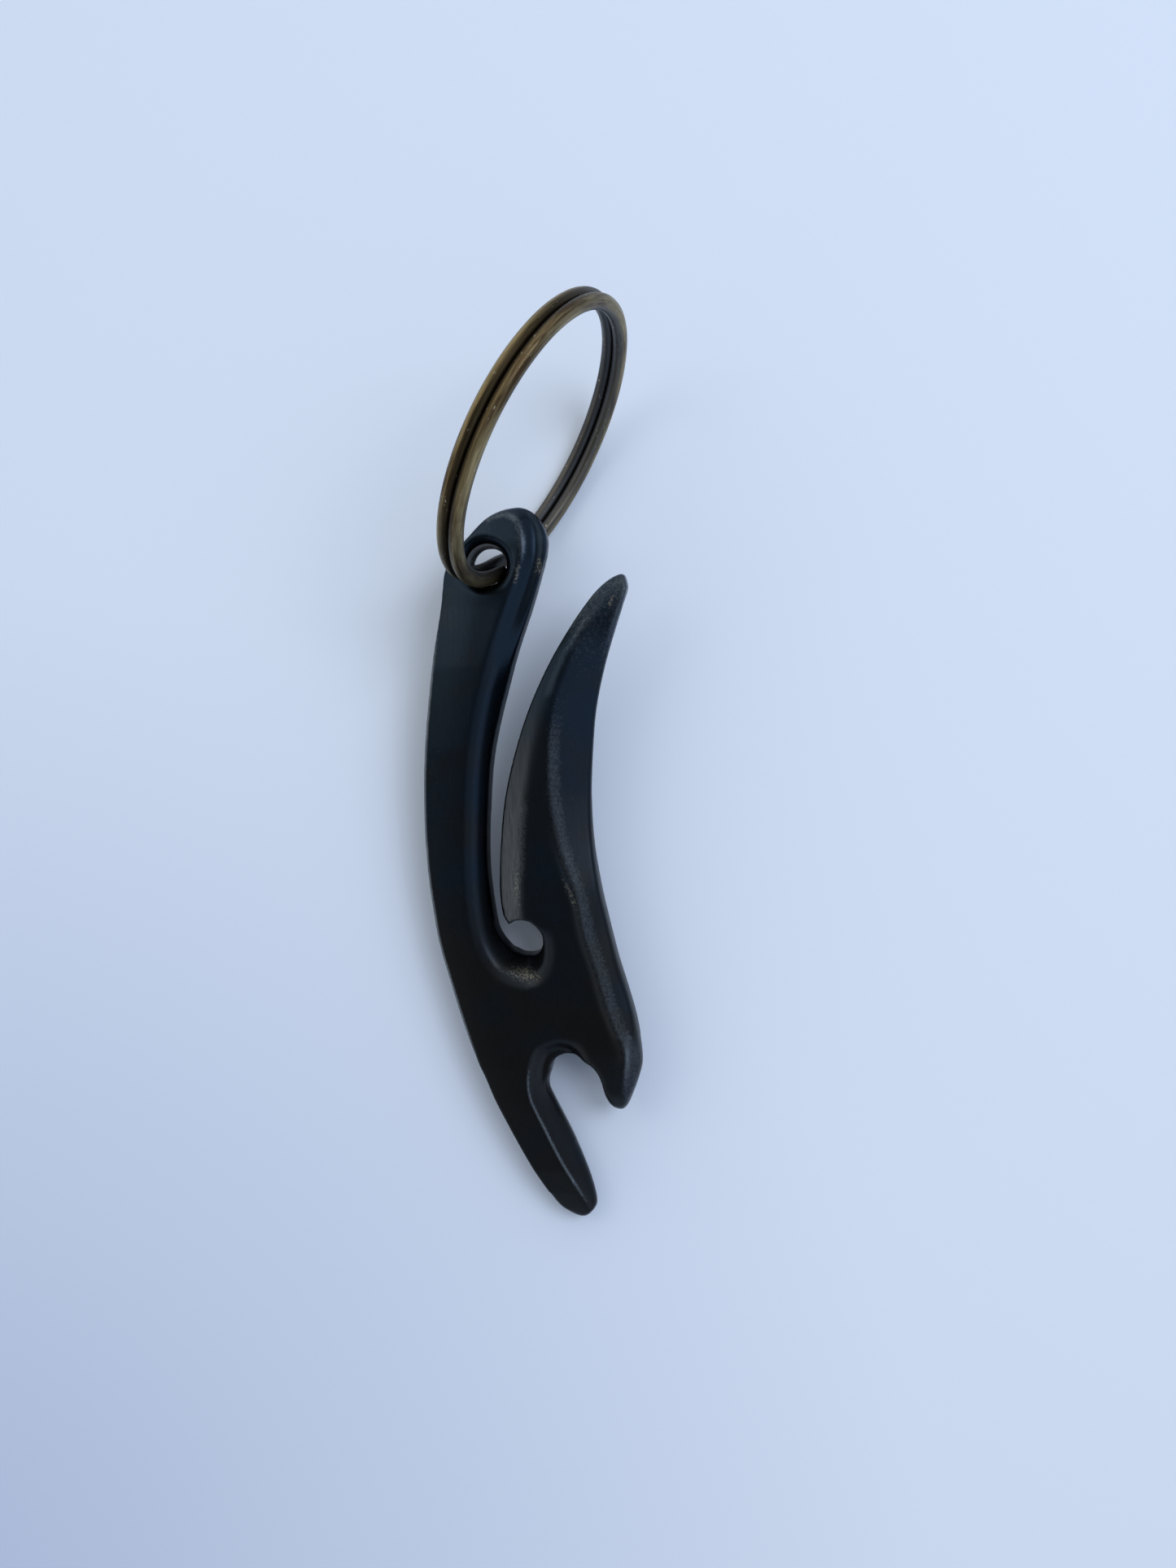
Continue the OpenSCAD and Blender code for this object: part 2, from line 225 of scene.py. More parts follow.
def addNode(tree, kind, settings=None, links=None):
    # settings are properties of the node or values of its inputs; links bring other nodes' outputs to inputs
    node = tree.nodes.new(kind)
    for name, value in (settings or {}).items():
        if isinstance(name, str) and hasattr(node, name):
            setattr(node, name, value)
        else:
            node.inputs[name].default_value = value
    for name, source in (links or {}).items():
        tree.links.new(source, node.inputs[name])
    return node


def newMaterial(name):
    material = bpy.data.materials.new(name)
    material.use_nodes = True
    tree = material.node_tree
    tree.nodes.clear()
    return material, tree


def newPiece(name, bm):
    mesh = bpy.data.meshes.new(name)
    bm.to_mesh(mesh)
    bm.free()
    piece = bpy.data.objects.new(name, mesh)
    scene.collection.objects.link(piece)
    return piece


def vertexPlaces(mesh):
    places = np.empty(len(mesh.vertices) * 3, np.float32)
    mesh.vertices.foreach_get("co", places)
    return places.reshape(-1, 3).astype(float)


def vertexNormals(mesh):
    normals = np.empty(len(mesh.vertices) * 3, np.float32)
    mesh.vertex_normals.foreach_get("vector", normals)
    return normals.reshape(-1, 3).astype(float)


def edgeEnds(mesh):
    ends = np.empty(len(mesh.edges) * 2, np.int32)
    mesh.edges.foreach_get("vertices", ends)
    return ends.reshape(-1, 2)


def relaxed(values, ends, rounds):
    # the values after so many rounds of averaging each vertex with its neighbours
    count = np.bincount(ends.ravel(), minlength=len(values))[:, None]
    for _ in range(rounds):
        total = np.stack([np.bincount(ends[:, 0], values[ends[:, 1], k], len(values))
                          + np.bincount(ends[:, 1], values[ends[:, 0], k], len(values))
                          for k in range(values.shape[1])], 1)
        values = (values + total / count) / 2
    return values


def keepValue(mesh, name, values):
    mesh.attributes.new(name, "FLOAT", "POINT").data.foreach_set("value", values.astype(np.float32))


def softStep(x, low, high):
    t = np.clip((x - low) / (high - low), 0, 1)
    return t * t * (3 - 2 * t)


# The cast body: the CAD solid on a fine grid, with the relief of its front cut along guide lines.
# Places are mm in the body's flat drawing, with the eye's bore at 0, 0 and the long prong at negative y.
openerLook = {
    "grid": 0.2,             # spacing of the rebuilt surface
    "worn": 5,               # rounds of smoothing, which round the edges
    "turnedOver": 14,        # more rounds on the horn's and the prong's outer sides
    "roundEnds": 18,         # more rounds on the hook and on the end of the prong
    "roundRim": 6,           # more rounds on the bore's rim at the back
    "turnHeight": 2.6,       # where the outer sides start to lean in
    "leansIn": 0.2,          # how far, for each mm further down
    "standsOut": 0.1,        # how far they swell above that
    "hookCorner": (9, -51),  # the hook is to the right of this place and below it
    "prongEnd": -69.5,       # the prong's end is below this
    "thinnest": 0.9,         # least height of the front over the back
    # y, and the front's height over the back before its relief is cut
    "limbHeights": [(-72.6, 2.3), (-71.4, 2.9), (-69.5, 3.5), (-66.7, 4.1), (-62.9, 4.5), (-58.9, 4.8),
                    (-55, 5), (-19.7, 5), (-10.8, 4.7), (-4.6, 4.3), (-0.3, 4.1), (2.5, 3.85), (4.8, 3.45),
                    (6.2, 2.9)],
    "hornHeights": [(-60, 2.6), (-59.2, 3.4), (-57.8, 4.3), (-55.5, 4.7), (-53, 5), (-14, 5), (-9, 4.65),
                    (-5.9, 4.1), (-3.2, 3.4), (-2, 3), (-1, 2.4)],
    # y and x of the middle of the slot and of the mouth, which part the horn from the limb
    "slotMiddle": [(-45, 3.4), (-38.5, 1.2), (-33, 0.35), (-27, 0.65), (-19.7, 1.75), (-15.3, 3.0),
                   (-10.8, 4.75), (-4.6, 7.7), (0, 10)],
    "mouthMiddle": [(-75, 17), (-62, 11), (-58, 9.5), (-55.5, 8.6), (-50, 8.6)],
    "mouthTop": -50,         # the mouth parts them below this, the slot above it
    "slotEnd": (-40.2, -38.8),   # the cove and the horn's bevel meet the solid part over this
    # how steep and how deep the relief is: a fall is mm down for each mm sideways
    "bellyFall": 0.12,
    "coveStep": 1.05,        # depth of the step inside the eye's bead
    "beadEnds": (13, 26),    # mm along the cove where the bead fades into the hollow
    "coveFalls": (0.36, 0.9),    # slope of the hollow, and how much is added past coveSteeper
    "coveSteeper": 1.3,      # mm from its edge
    "coveDepth": 2.9,        # the most that the cove falls
    "bevelFall": 0.48,
    "crestRise": 0.3,        # how far the lower half of the crest stands up
    "crestFall": 0.46,
    "hookFall": 0.85,
    "prongFall": 1.05,
    "dishStarts": (12, 17),  # mm along the prong's line where its ridge becomes the mouth's rim
    "dishDepth": 1.1,
    # radius and height of the bore's lining, from the back to the front, and where the wall follows it
    "boreWall": [(2.95, 0.1), (2.0, 0.1), (1.57, 0.5), (2.2, 1.1), (2.28, 3.1), (2.4, 3.9), (2.95, 3.9)],
    "wallStarts": (0.05, 0.4),   # heights
    "wallEnds": (3.1, 3.5),
    "wallReach": (2.3, 3.0),     # radii
    "backRim": (3.4, 1.2),   # radius and height of the part round the bore that is smoothed at the back
    "bore": 2.4,             # radius of the bore's front opening
    "rim": 0.9,              # rounding of that opening
    "edgeReach": 14,         # rounds that measure how far an edge stands out
    "fullEdge": 0.075,       # how far a sharp edge stands out
    "limbEdge": [(-60, -1.5), (-45, 1.6), (-30, 2.8), (-10, 3.4)],   # y, and mm to the left where it starts
    "limbRub": 1.3,          # how much the limb's outer edge and the horn's tip are rubbed
    "tipRub": 0.4,
    # guide lines along which the finish is rubbed: from and to mm along it, mm to its left, mm wide, how much
    "rubbedLines": {
        "cove": (2, 12, 0, 0.8, 0.4),
        "crest": (10, 62, 0.5, 1.1, 0.8),
        "prong": (0.5, 20, 0, 0.22, 0.9),
        "bevel": (24, 34, 0, 0.9, 0.6),
    },
}

# The line from which the limb's face turns down towards its belly
bellyLine = [(-0.5, 4), (-2.5, -8), (-4.2, -20), (-4.2, -33), (-2.4, -45), (1, -56), (7, -68)]
# The eye's ridge, the outer edge of the cove along the limb and its turn round the slot's hole
coveLine = [(-2.2, 2.4), (-1.1, 3.9), (0.5, 4.95), (1.8, 5.35), (2.9, 5.1), (3.6, 4.2),
            (4.0, 2.8), (4.0, 1.1), (3.5, -0.8), (2.9, -2.5), (1.9, -5.0), (0.5, -8.7),
            (-0.7, -12.5), (-1.7, -17.0), (-2.4, -22.3), (-2.8, -31.2), (-2.5, -37.5), (-1.5, -42.0),
            (0.6, -45.0), (4.0, -46.1), (6.4, -45.0), (7.4, -42.7), (7.2, -39.5), (6.2, -37.1)]
# The inner edge of the horn's bevel, from the tip to the heel
bevelLine = [(13.4, -2.6), (11.8, -4.0), (9.3, -7.9), (6.5, -14.4), (5.2, -20.0), (4.1, -26.6), (3.8, -31.1),
             (3.8, -36.7)]
# The horn's crest, from the tip to the hook
crestLine = [(13.6, -2.4), (11.0, -6.4), (8.5, -11.8), (7.5, -15.2), (7.0, -18.7), (6.9, -22.2), (7.1, -25.7),
             (8.1, -30.6), (9.8, -35.4), (10.7, -39.7), (12.0, -43.7), (13.0, -47.3), (14.1, -50.2),
             (15.1, -52.8), (15.0, -55.3), (14.9, -57.6)]
# The lower facet on the outside of the hook
hookLine = [(12.7, -41.3), (14.1, -44.6), (15.1, -46.7), (15.6, -49.2), (15.4, -51.8), (15.2, -54.3),
            (14.9, -57.8)]
# The ridge of the long prong, from its tip, and the rim of the bottle mouth that goes on from it
prongLine = [(11.0, -72.0), (9.8, -69.4), (7.6, -65.3), (6.2, -62.3), (4.4, -58.2), (4.3, -55.1),
             (5.1, -52.7), (6.5, -51.8), (7.8, -51.5), (9.5, -51.9), (10.7, -53.1), (11.5, -54.8)]


def besideLine(places, line, perSpan=6):
    # how far each place lies to the left of a smooth line through the points, and how far along it, in mm
    pts = np.array([line[0]] + list(line) + [line[-1]], float)
    pts[0] += pts[1] - pts[2]
    pts[-1] += pts[-2] - pts[-3]
    fine = []
    for k in range(1, len(pts) - 2):
        a, b, c, d = pts[k - 1:k + 3]
        for t in np.arange(perSpan) / perSpan:
            fine.append(b + 0.5 * t * (c - a) + t * t * (a - 2.5 * b + 2 * c - 0.5 * d)
                        + t ** 3 * (-0.5 * a + 1.5 * b - 1.5 * c + 0.5 * d))
    fine = np.array(fine + [pts[-2]])
    lengths = np.linalg.norm(np.diff(fine, axis=0), axis=1)
    starts = np.concatenate([[0], np.cumsum(lengths)])
    nearest = np.full(len(places), 1e9)
    left, along = np.zeros(len(places)), np.zeros(len(places))
    for k, length in enumerate(lengths):
        way = (fine[k + 1] - fine[k]) / length
        away = places - fine[k]
        run = away @ way
        side = way[0] * away[:, 1] - way[1] * away[:, 0]
        held = np.clip(run, -4 if k == 0 else 0, length + (4 if k == len(lengths) - 1 else 0))
        far = np.hypot(run - held, side)
        closer = far < nearest - 1e-9
        nearest = np.where(closer, far, nearest)
        left = np.where(closer, np.sign(side) * far, left)
        along = np.where(closer, starts[k] + held, along)
    return left, along, starts[-1]


def ramp(distance, soft):
    # rises at 1 in 1 past 0, with a soft start
    return np.where(distance > soft, distance, np.clip(distance + soft, 0, None) ** 2 / (4 * soft))


def frontHeight(x, y, look):
    # height of the front over the flat back, in mm
    places = np.stack([x, y], 1)

    def atY(name):
        return np.interp(y, *zip(*look[name]))

    middle = np.where(y > look["mouthTop"], atY("slotMiddle"), atY("mouthMiddle"))
    inHorn = softStep(x - middle, -0.3, 0.3)
    hornOnly = inHorn * softStep(y, *look["slotEnd"])
    height = atY("limbHeights") + (atY("hornHeights") - atY("limbHeights")) * inHorn
    # the limb's face turns down a little towards its belly
    left, along, whole = besideLine(places, bellyLine)
    fall = look["bellyFall"] * np.clip(ramp(-left, 1.6), 0, 4)
    height -= fall * (1 - hornOnly) * softStep(whole - along, 0, 20)
    # the cove: a step with a bead beside the eye, then a hollow that steepens down to the slot
    left, along, whole = besideLine(places, coveLine)
    bead = 1 - softStep(along, *look["beadEnds"])
    step = look["coveStep"] * softStep(left, -0.15, 1.5) - 0.1 * softStep(left, 1.3, 2.6)
    first, further = look["coveFalls"]
    slope = first * ramp(left - 0.1, 0.3) + further * ramp(left - look["coveSteeper"], 0.35)
    fall = np.minimum(step * bead + slope * (1 - bead), look["coveDepth"])
    height -= fall * (1 - hornOnly) * softStep(whole - along, 0.2, 4)
    # the horn's bevel and its crest
    left, _, _ = besideLine(places, bevelLine)
    height -= look["bevelFall"] * ramp(-left, 0.7) * hornOnly
    left, along, whole = besideLine(places, crestLine)
    rise = look["crestRise"] * softStep(along, 22, 36) * softStep(whole - along, 0, 5)
    height += rise * (1 - softStep(-left, 0, 1.0))
    height -= look["crestFall"] * ramp(left, 0.35) * softStep(along, -2, 8)
    left, along, _ = besideLine(places, hookLine)
    height -= look["hookFall"] * ramp(left, 0.25) * softStep(along, 0, 6)
    # the long prong's ridge and the mouth's rim
    left, along, whole = besideLine(places, prongLine)
    rim = softStep(along, *look["dishStarts"])
    ridge = look["prongFall"] * ramp(-left, 0.1)
    dish = look["dishDepth"] * softStep(-left, -0.2, 1.5)
    fall = ridge * (1 - rim) + dish * rim
    height -= fall * softStep(whole - along, 0, 3) * (1 - inHorn * softStep(-y, 54, 56))
    # the rounded rim of the eye's bore
    inside = np.clip(look["rim"] - (np.hypot(x, y) - look["bore"]), 0, look["rim"])
    height -= look["rim"] - np.sqrt(look["rim"] ** 2 - inside ** 2)
    return np.maximum(height, look["thinnest"])


def rubbedPlaces(places, edge, look):
    # where the finish is rubbed: the limb's outer edge, the horn's tip and along the named lines
    lines = {"cove": coveLine, "crest": crestLine, "prong": prongLine, "bevel": bevelLine}
    x, y = places[:, 0], places[:, 1]
    onEdge = softStep(-x - np.interp(y, *zip(*look["limbEdge"])), 0.3, 1.2)
    onLimb = softStep(y, -56, -48) * softStep(-y, 4, 16)
    rubbed = look["limbRub"] * onEdge * onLimb * softStep(edge, 0.0, 0.35)
    rubbed = np.maximum(rubbed, look["tipRub"] * softStep(y, -16, -4) * softStep(x, 8, 10))
    for name, (start, stop, offset, width, strength) in look["rubbedLines"].items():
        left, along, _ = besideLine(places[:, :2], lines[name])
        fade = 0.2 * (stop - start)
        held = softStep(along, start, start + fade) * softStep(stop - along, 0, fade)
        near = 1 - softStep(np.abs(left - offset), 0.2 * width, width)
        rubbed = np.maximum(rubbed, strength * held * near)
    return rubbed


def lineBore(bm, look):
    # the bore narrows behind its mouth, clear of the ring's wires
    lining = bmesh.new()
    wall = [lining.verts.new((r * mm, 0, z * mm)) for r, z in look["boreWall"]]
    loop = [lining.edges.new(pair) for pair in zip(wall, wall[1:] + wall[:1])]
    bmesh.ops.spin(lining, geom=wall + loop, axis=(0, 0, 1), cent=(0, 0, 0), angle=math.tau, steps=72,
                   use_merge=True)
    bmesh.ops.recalc_face_normals(lining, faces=lining.faces)
    spare = bpy.data.meshes.new("boreLining")
    lining.to_mesh(spare)
    lining.free()
    bm.from_mesh(spare)
    bpy.data.meshes.remove(spare)


def rebuildOnGrid(bm, look):
    # the same shape in even faces, fine enough to carve
    blank = newPiece("openerBlank", bm)
    grid = blank.modifiers.new("grid", "REMESH")
    grid.mode = "VOXEL"
    grid.voxel_size = look["grid"] * mm
    graph = bpy.context.evaluated_depsgraph_get()
    mesh = bpy.data.meshes.new_from_object(blank.evaluated_get(graph))
    piece = bpy.data.objects.new("openerBody", mesh)
    scene.collection.objects.link(piece)
    bpy.data.objects.remove(blank)
    return piece


def carveFront(mesh, tree, look):
    # each vertex keeps its share of the height between the back and the front
    places, normals = vertexPlaces(mesh) / mm, vertexNormals(mesh)
    inward = normals[:, :2] * 0.15 * (1 - np.abs(normals[:, 2:]))   # 0.15 mm, so a side's ray meets the front
    share = np.ones(len(places))
    for k, (x, y) in enumerate(places[:, :2] - inward):
        if normals[k, 2] < 0.5:
            hit = tree.ray_cast(Vector((x, y, 20)) * mm, Vector((0, 0, -1)))[0]
            share[k] = places[k, 2] / max(hit.z / mm if hit else places[k, 2], 0.1)
    share += (1 - share) * softStep(normals[:, 2], 0.15, 0.5)
    places[:, 2] = np.clip(share, -0.02, 1) * frontHeight(places[:, 0], places[:, 1], look)
    mesh.vertices.foreach_set("co", (places * mm).astype(np.float32).ravel())


def smoothRounds(bm, verts, rounds):
    for _ in range(rounds):
        bmesh.ops.smooth_vert(bm, verts=verts, factor=0.5, use_axis_x=True, use_axis_y=True, use_axis_z=True)


def turnSidesOver(bm, look):
    # the outer facets of the horn and the prong turn over into sides that lean in, with no edge
    flat = np.array([v.co.xy for v in bm.verts]) / mm
    left, along, whole = besideLine(flat, crestLine)
    ofHorn = (softStep(left, 0.5, 1.2) * softStep(flat[:, 0], 6, 7.5) * softStep(-flat[:, 1], 3, 5)
              * softStep(whole - along, -2, 1))
    left, along, _ = besideLine(flat, prongLine)
    ofProng = softStep(-left, 0.5, 1.2) * softStep(-flat[:, 1], 55, 58) * softStep(along, -2.5, 1)
    turned = np.maximum(ofHorn, ofProng * (flat[:, 0] < 13))
    smoothRounds(bm, [v for v, share in zip(bm.verts, turned) if share > 0.5], look["turnedOver"])
    bm.normal_update()
    for v, share in zip(bm.verts, turned):
        out = look["standsOut"] * mm - look["leansIn"] * max(look["turnHeight"] * mm - v.co.z, 0)
        v.co += Vector((v.normal.x, v.normal.y, 0)) * out * share


def roundHookAndProng(bm, look):
    flat = np.array([v.co.xy for v in bm.verts]) / mm
    right, below = look["hookCorner"]
    ends = ((flat[:, 0] > right) & (flat[:, 1] < below)) | (flat[:, 1] < look["prongEnd"])
    smoothRounds(bm, [v for v, held in zip(bm.verts, ends) if held], look["roundEnds"])


def restoreBore(bm, look):
    # the bore's wall goes back to its own radii, and its rim at the back is smoothed clear of the ring
    radii, heights = zip(*look["boreWall"][1:-1])
    for v in bm.verts:
        height, radius = v.co.z / mm, v.co.xy.length / mm
        share = (softStep(height, *look["wallStarts"]) * (1 - softStep(height, *look["wallEnds"]))
                 * (1 - softStep(radius, *look["wallReach"])))
        if share > 0:
            v.co.xy *= 1 + share * (np.interp(height, heights, radii) / radius - 1)
    reach, top = look["backRim"]
    rim = [v for v in bm.verts if v.co.z < top * mm and v.co.xy.length < reach * mm]
    smoothRounds(bm, rim, look["roundRim"])
    for v in rim:
        v.co.xy *= max(np.interp(v.co.z / mm, heights, radii) * mm / v.co.xy.length, 1)


def markFinish(mesh, look):
    # what the finish reads at each vertex: sharp edges, rubbed places, the bore's painted shade and the bevel's
    # painted sheen
    places, ends = vertexPlaces(mesh), edgeEnds(mesh)
    stands = ((places - relaxed(places, ends, look["edgeReach"])) * vertexNormals(mesh)).sum(1) / mm
    edge = np.clip(stands / look["fullEdge"], -1, 1)
    places /= mm
    x, y, z = places.T
    keepValue(mesh, "edge", edge)
    keepValue(mesh, "rubbed", rubbedPlaces(places, edge, look))
    # painted shade: the bore's wall below its front is marked to be painted near black
    inBore = 1 - softStep(np.hypot(x, y), 2.5, 3.0)
    keepValue(mesh, "paintedShade", inBore * (1 - softStep(z, 3.2, 3.7)))
    # painted reflection: the horn's inner bevel is marked to be painted lighter, as if lit from the left
    left, along, _ = besideLine(places[:, :2], bevelLine)
    slot = np.interp(y, *zip(*look["slotMiddle"]))
    onBevel = softStep(-left, -0.4, 0.8) * softStep(along, 10, 34) * softStep(x - slot, 0, 0.5)
    keepValue(mesh, "bevelSheen", onBevel * softStep(y, -40, -38.5))


def makeOpener(look):
    bm = bmesh.new()
    bm.from_mesh(frame["nodes"]["opener_body"].data)
    bmesh.ops.remove_doubles(bm, verts=bm.verts, dist=0.002 * mm)
    bmesh.ops.transform(bm, matrix=bodyPlace.inverted(), verts=bm.verts)
    lineBore(bm, look)
    tree = BVHTree.FromBMesh(bm)
    piece = rebuildOnGrid(bm, look)
    carveFront(piece.data, tree, look)
    bm = bmesh.new()
    bm.from_mesh(piece.data)
    smoothRounds(bm, bm.verts, look["worn"])
    turnSidesOver(bm, look)
    roundHookAndProng(bm, look)
    restoreBore(bm, look)
    bm.to_mesh(piece.data)
    bm.free()
    markFinish(piece.data, look)
    piece.data.transform(bodyPlace)
    piece.data.shade_smooth()
    return piece


opener = makeOpener(openerLook)
print("body made,", len(opener.data.polygons), "faces")

# Bare scuffs on the body at image points: mm along and across, degrees that they turn, and how bare they are
scuffLook = {
    "eyeScratch": (1.3, 0.7, 95, 0.7),
    "eyeNick": (1.6, 0.35, 80, 0.8),
    "slotPatch": (2.4, 1.1, -12, 0.75),
    "crestScuff": (3.2, 0.6, 118, 0.55),
    "heelShine": (3.0, 0.6, 88, 0.6),
    "tipShine": (1.5, 0.5, 60, 0.6),
}


def makeScuffs(look):
    mesh = opener.data
    places = vertexPlaces(mesh)
    tree = BVHTree.FromPolygons([v.co for v in mesh.vertices], [p.vertices for p in mesh.polygons])
    bare = np.zeros(len(places))
    shown = {}
    for name, (long, wide, turn, strength) in look.items():
        away = (places - np.array(onSurface(tree, *imagePoints[name]))) / mm
        way = np.array([math.cos(math.radians(turn)), math.sin(math.radians(turn))])
        along = away[:, :2] @ way
        across = away[:, :2] @ [-way[1], way[0]]
        near = np.exp(-(along / long) ** 2 - (across / wide) ** 2 - (away[:, 2] / 2) ** 2)
        shown[name] = (toImage(places) * near[:, None]).sum(0) / near.sum()
        bare = np.maximum(bare, strength * near)
    keepValue(mesh, "scuffed", bare)
    return shown


shownAt = makeScuffs(scuffLook)
print("scuffs made")

# The split ring: one flat wire in two turns, with a step between them hidden in the eye
ringLook = {
    "outer": 32.0,       # mm, outer diameter
    "thick": 1.6,        # mm, wire across the ring
    "wide": 1.3,         # mm, wire along the ring's axis
    "gap": 0.05,         # mm between the turns
    "corner": 0.6,       # mm, rounding of the wire's corners
    "crown": 0.05,       # mm, how far the wire's faces bulge
    "firstEnd": 62,      # degrees from level towards the table, where the wire starts
    "step": 22,          # degrees over which the wire changes turns, in so many parts
    "stepParts": 8,
    "endGap": 2,         # degrees from an end of the wire to the step
    "partsPerTurn": 180,
}


def wireEnd(bm, look):
    # the wire's section: a flat bar with rounded corners and faces that bulge a little
    section = bmesh.ops.create_circle(bm, cap_ends=True, radius=math.sqrt(0.5), segments=4)["verts"]
    bmesh.ops.rotate(bm, matrix=Matrix.Rotation(math.radians(45), 3, "Z"), verts=section)
    bmesh.ops.scale(bm, vec=(look["thick"] * mm, look["wide"] * mm, 1), verts=section)
    middles = bmesh.ops.subdivide_edges(bm, edges=bm.edges, cuts=1)["geom_inner"]
    middles = [g for g in middles if isinstance(g, bmesh.types.BMVert)]
    for v in middles:
        v.co += v.co.normalized() * look["crown"] * mm
    corners = [v for v in bm.verts if v not in middles]
    bmesh.ops.bevel(bm, geom=corners, offset=look["corner"] * mm, segments=5, profile=0.5, affect="VERTICES",
                    material=-1)


def spinWire(bm, look, pitch):
    # a level turn, the step in short pieces, and the second level turn
    plain, parts = 360 - look["step"] - look["endGap"], look["stepParts"]
    rise = [t * t * (3 - 2 * t) for t in (k / parts for k in range(parts + 1))]
    spins = ([(plain, 0)] + [(look["step"] / parts, (rise[k + 1] - rise[k]) * pitch) for k in range(parts)]
             + [(plain, 0)])
    end = list(bm.faces)
    for turn, lift in spins:
        steps = max(2, round(turn / 360 * look["partsPerTurn"]))
        geom = end + [e for f in end for e in f.edges] + [v for f in end for v in f.verts]
        end = bmesh.ops.spin(bm, geom=geom, axis=(0, 0, 1), cent=(0, 0, 0), dvec=(0, 0, lift / steps),
                             angle=math.radians(turn), steps=steps)["geom_last"]
        end = [g for g in end if isinstance(g, bmesh.types.BMFace)]
    bmesh.ops.holes_fill(bm, edges=[e for e in bm.edges if e.is_boundary])
    bmesh.ops.recalc_face_normals(bm, faces=bm.faces)


def makeRing(look):
    loop = next(m for m in frame["record"]["mounts"] if m["name"] == "key_loop")
    axis = Vector(loop["axis"]).normalized()
    level = axis.cross(Vector((0, 0, 1))).normalized()
    place = Matrix((level, axis.cross(level), axis)).transposed().to_4x4()
    place.translation = Vector(loop["pos_m"])
    radius = (look["outer"] - look["thick"]) / 2 * mm
    pitch = (look["wide"] + look["gap"]) * mm
    bm = bmesh.new()
    wireEnd(bm, look)
    bmesh.ops.rotate(bm, matrix=Matrix.Rotation(math.radians(90), 3, "X"), verts=bm.verts)
    bmesh.ops.translate(bm, vec=(radius, 0, -pitch / 2), verts=bm.verts)
    bmesh.ops.rotate(bm, matrix=Matrix.Rotation(math.radians(look["firstEnd"]), 3, "Z"), verts=bm.verts)
    spinWire(bm, look, pitch)
    ring = newPiece("splitRing", bm)
    # mm along the wire, across it and along the ring's axis, for the finish
    places = vertexPlaces(ring.data) / mm
    turned = np.arctan2(places[:, 1], places[:, 0]) - math.radians(look["firstEnd"])
    across = np.hypot(places[:, 0], places[:, 1]) - radius / mm
    onWire = np.stack([np.mod(turned, math.tau) * radius / mm, across, places[:, 2]], 1)
    stored = ring.data.attributes.new("wirePlace", "FLOAT_VECTOR", "POINT")
    stored.data.foreach_set("vector", onWire.astype(np.float32).ravel())
    ring.data.transform(place)
    ring.data.shade_smooth()
    return ring


ring = makeRing(ringLook)
print("ring made,", len(ring.data.polygons), "faces")


# Blackened brass: cast brass under a thin blue-black oxide, tumbled smooth. Satin and nearly black, bluer
# where it is thin, graphite grey where edges are rubbed and dull yellow-grey where scuffs have gone through.
brassLook = {
    "thickOxide": "#27292b",
    "thinOxide": "#1f2934",
    # painted reflection on the horn's inner bevel
    "bevelSheen": "#4f5459",
    # painted shade inside the bore
    "paintedShade": "#0b0c0c",
    "rubbed": "#6c747c",
    "bare": "#8d8a80",
    "rough": 0.17,           # least roughness, and what the brushing and the patches add to it
    "roughBrushed": 0.16,
    "roughPatches": 0.1,
}


